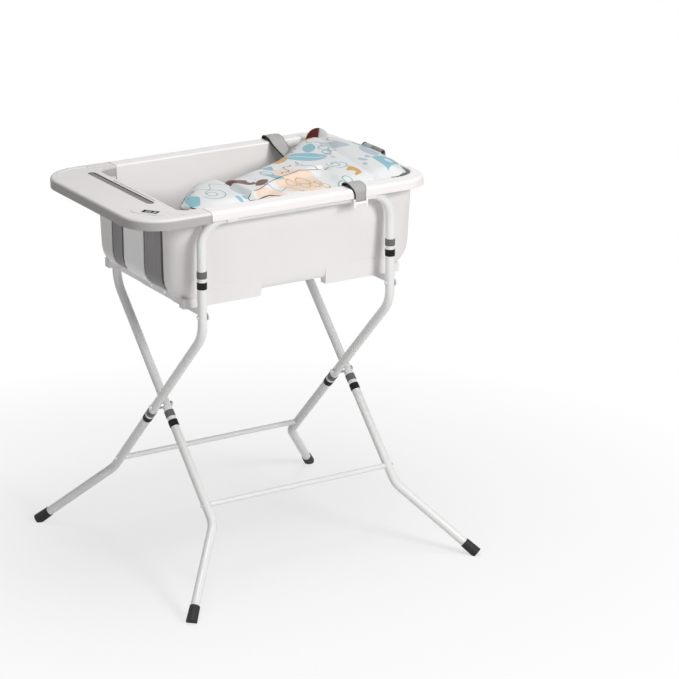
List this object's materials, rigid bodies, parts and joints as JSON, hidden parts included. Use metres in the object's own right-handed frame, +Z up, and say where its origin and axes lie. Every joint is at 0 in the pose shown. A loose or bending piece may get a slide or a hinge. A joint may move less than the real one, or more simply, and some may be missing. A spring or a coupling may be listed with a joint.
{
  "type": "baby bathtub with stand",
  "caption": "Rounded rectangular infant bath with folding soft side strips, clip-on end tray and strapped cushion, carried on a crossed folding tube stand",
  "frame": {"origin": "on the floor, under the middle of the stand", "axes": "+X along the bath towards its head end, +Y from the near side to the far side, +Z up"},
  "size_m": [0.8619, 0.7812, 0.9761],
  "materials": {
    "painted_tube": "semi-gloss white powder coat",
    "painted_plate": "semi-gloss white powder coat",
    "grey_collar": "moulded, fine grain",
    "black_collar": "moulded, fine grain",
    "foot_rubber": "matt",
    "zinc_steel": "zinc plated",
    "bath_plastic": "satin warm white polypropylene",
    "panel_plastic": "satin light grey",
    "soft_strip": "soft matt grey elastomer",
    "drain_plastic": "smooth",
    "plug_rubber": "soft silicone",
    "tray_plastic": "satin warm grey",
    "slot_plastic": "matt",
    "meter_plastic": "satin",
    "display": "polished",
    "pad_fabric": "soft printed knit",
    "ear_fabric": "soft knit",
    "webbing": "woven band",
    "clip_plastic": "moulded"
  },
  "bodies": {
    "root": {"left_pivot_bolt": "zinc_steel", "right_pivot_bolt": "zinc_steel", "pivot_spacers": "zinc_steel"},
    "front_frame": {"front_top_bar": "painted_tube", "front_left_leg": "painted_tube", "front_right_leg": "painted_tube", "front_left_lower_leg": "painted_tube", "front_right_lower_leg": "painted_tube", "front_grey_collars": "grey_collar", "front_black_collars": "black_collar", "front_left_foot": "foot_rubber", "front_right_foot": "foot_rubber", "front_stretcher": "painted_tube", "front_stretcher_screws": "zinc_steel", "front_link_bolts": "zinc_steel"},
    "rear_frame": {"rear_top_bar": "painted_tube", "rear_left_leg": "painted_tube", "rear_right_leg": "painted_tube", "rear_left_lower_leg": "painted_tube", "rear_right_lower_leg": "painted_tube", "rear_grey_collars": "grey_collar", "rear_black_collars": "black_collar", "rear_left_foot": "foot_rubber", "rear_right_foot": "foot_rubber", "rear_stretcher": "painted_tube", "rear_stretcher_screws": "zinc_steel", "rear_link_bolts": "zinc_steel"},
    "cradle": {"left_end_bar": "painted_plate", "right_end_bar": "painted_plate", "front_rail": "painted_tube", "rear_rail": "painted_tube", "rail_screws": "zinc_steel"},
    "front_links": {"front_left_link": "painted_plate", "front_right_link": "painted_plate", "front_link_rivets": "zinc_steel"},
    "rear_links": {"rear_left_link": "painted_plate", "rear_right_link": "painted_plate", "rear_link_rivets": "zinc_steel"},
    "bath": {"basin_front_half": "bath_plastic", "basin_rear_half": "bath_plastic", "middle_panel": "panel_plastic", "front_soft_strip": "soft_strip", "rear_soft_strip": "soft_strip", "rim_hooks": "bath_plastic", "drain_seat": "drain_plastic", "bath_pad": "pad_fabric", "pad_ear": "ear_fabric", "front_strap": "webbing", "rear_strap": "webbing", "end_strap": "webbing", "strap_clips": "clip_plastic"},
    "clip_on_tray": {"tray": "tray_plastic", "tray_slot_liner": "slot_plastic", "thermometer_case": "meter_plastic", "thermometer_display": "display"},
    "plug": {"drain_plug": "plug_rubber"}
  },
  "joints": [
    {"name": "bath_lift", "type": "slide", "parent": "root", "child": "bath", "axis": [0, 0, 1], "range_m": [0, 1.6]},
    {"name": "front_fold", "type": "hinge", "parent": "root", "child": "front_frame", "pos_m": [0, 0, 0.39742], "axis": [-1, 0, 0], "range_deg": [0, 21.6]},
    {"name": "rear_fold", "type": "hinge", "parent": "root", "child": "rear_frame", "pos_m": [0, 0, 0.39742], "axis": [1, 0, 0], "range_deg": [0, 21.6]},
    {"name": "cradle_rise", "type": "slide", "parent": "root", "child": "cradle", "axis": [0, 0, 1], "range_m": [0, 0.232]},
    {"name": "front_link_fold", "type": "hinge", "parent": "front_frame", "child": "front_links", "pos_m": [0, -0.246, 0.693], "axis": [1, 0, 0], "range_deg": [0, 97.3]},
    {"name": "rear_link_fold", "type": "hinge", "parent": "rear_frame", "child": "rear_links", "pos_m": [0, 0.246, 0.693], "axis": [-1, 0, 0], "range_deg": [0, 97.3]},
    {"name": "tray_lift", "type": "slide", "parent": "bath", "child": "clip_on_tray", "axis": [0, 0, 1], "range_m": [0, 0.12]},
    {"name": "plug_lift", "type": "slide", "parent": "bath", "child": "plug", "axis": [0, 0, 1], "range_m": [0, 0.03]}
  ],
  "couplings": [
    {"joint": "front_fold", "follows": "bath_lift", "rad_per_m": 0.23453},
    {"joint": "rear_fold", "follows": "bath_lift", "rad_per_m": 0.23453},
    {"joint": "cradle_rise", "follows": "bath_lift", "ratio": 0.14438},
    {"joint": "front_link_fold", "follows": "bath_lift", "rad_per_m": 1.0592},
    {"joint": "rear_link_fold", "follows": "bath_lift", "rad_per_m": 1.0592}
  ]
}
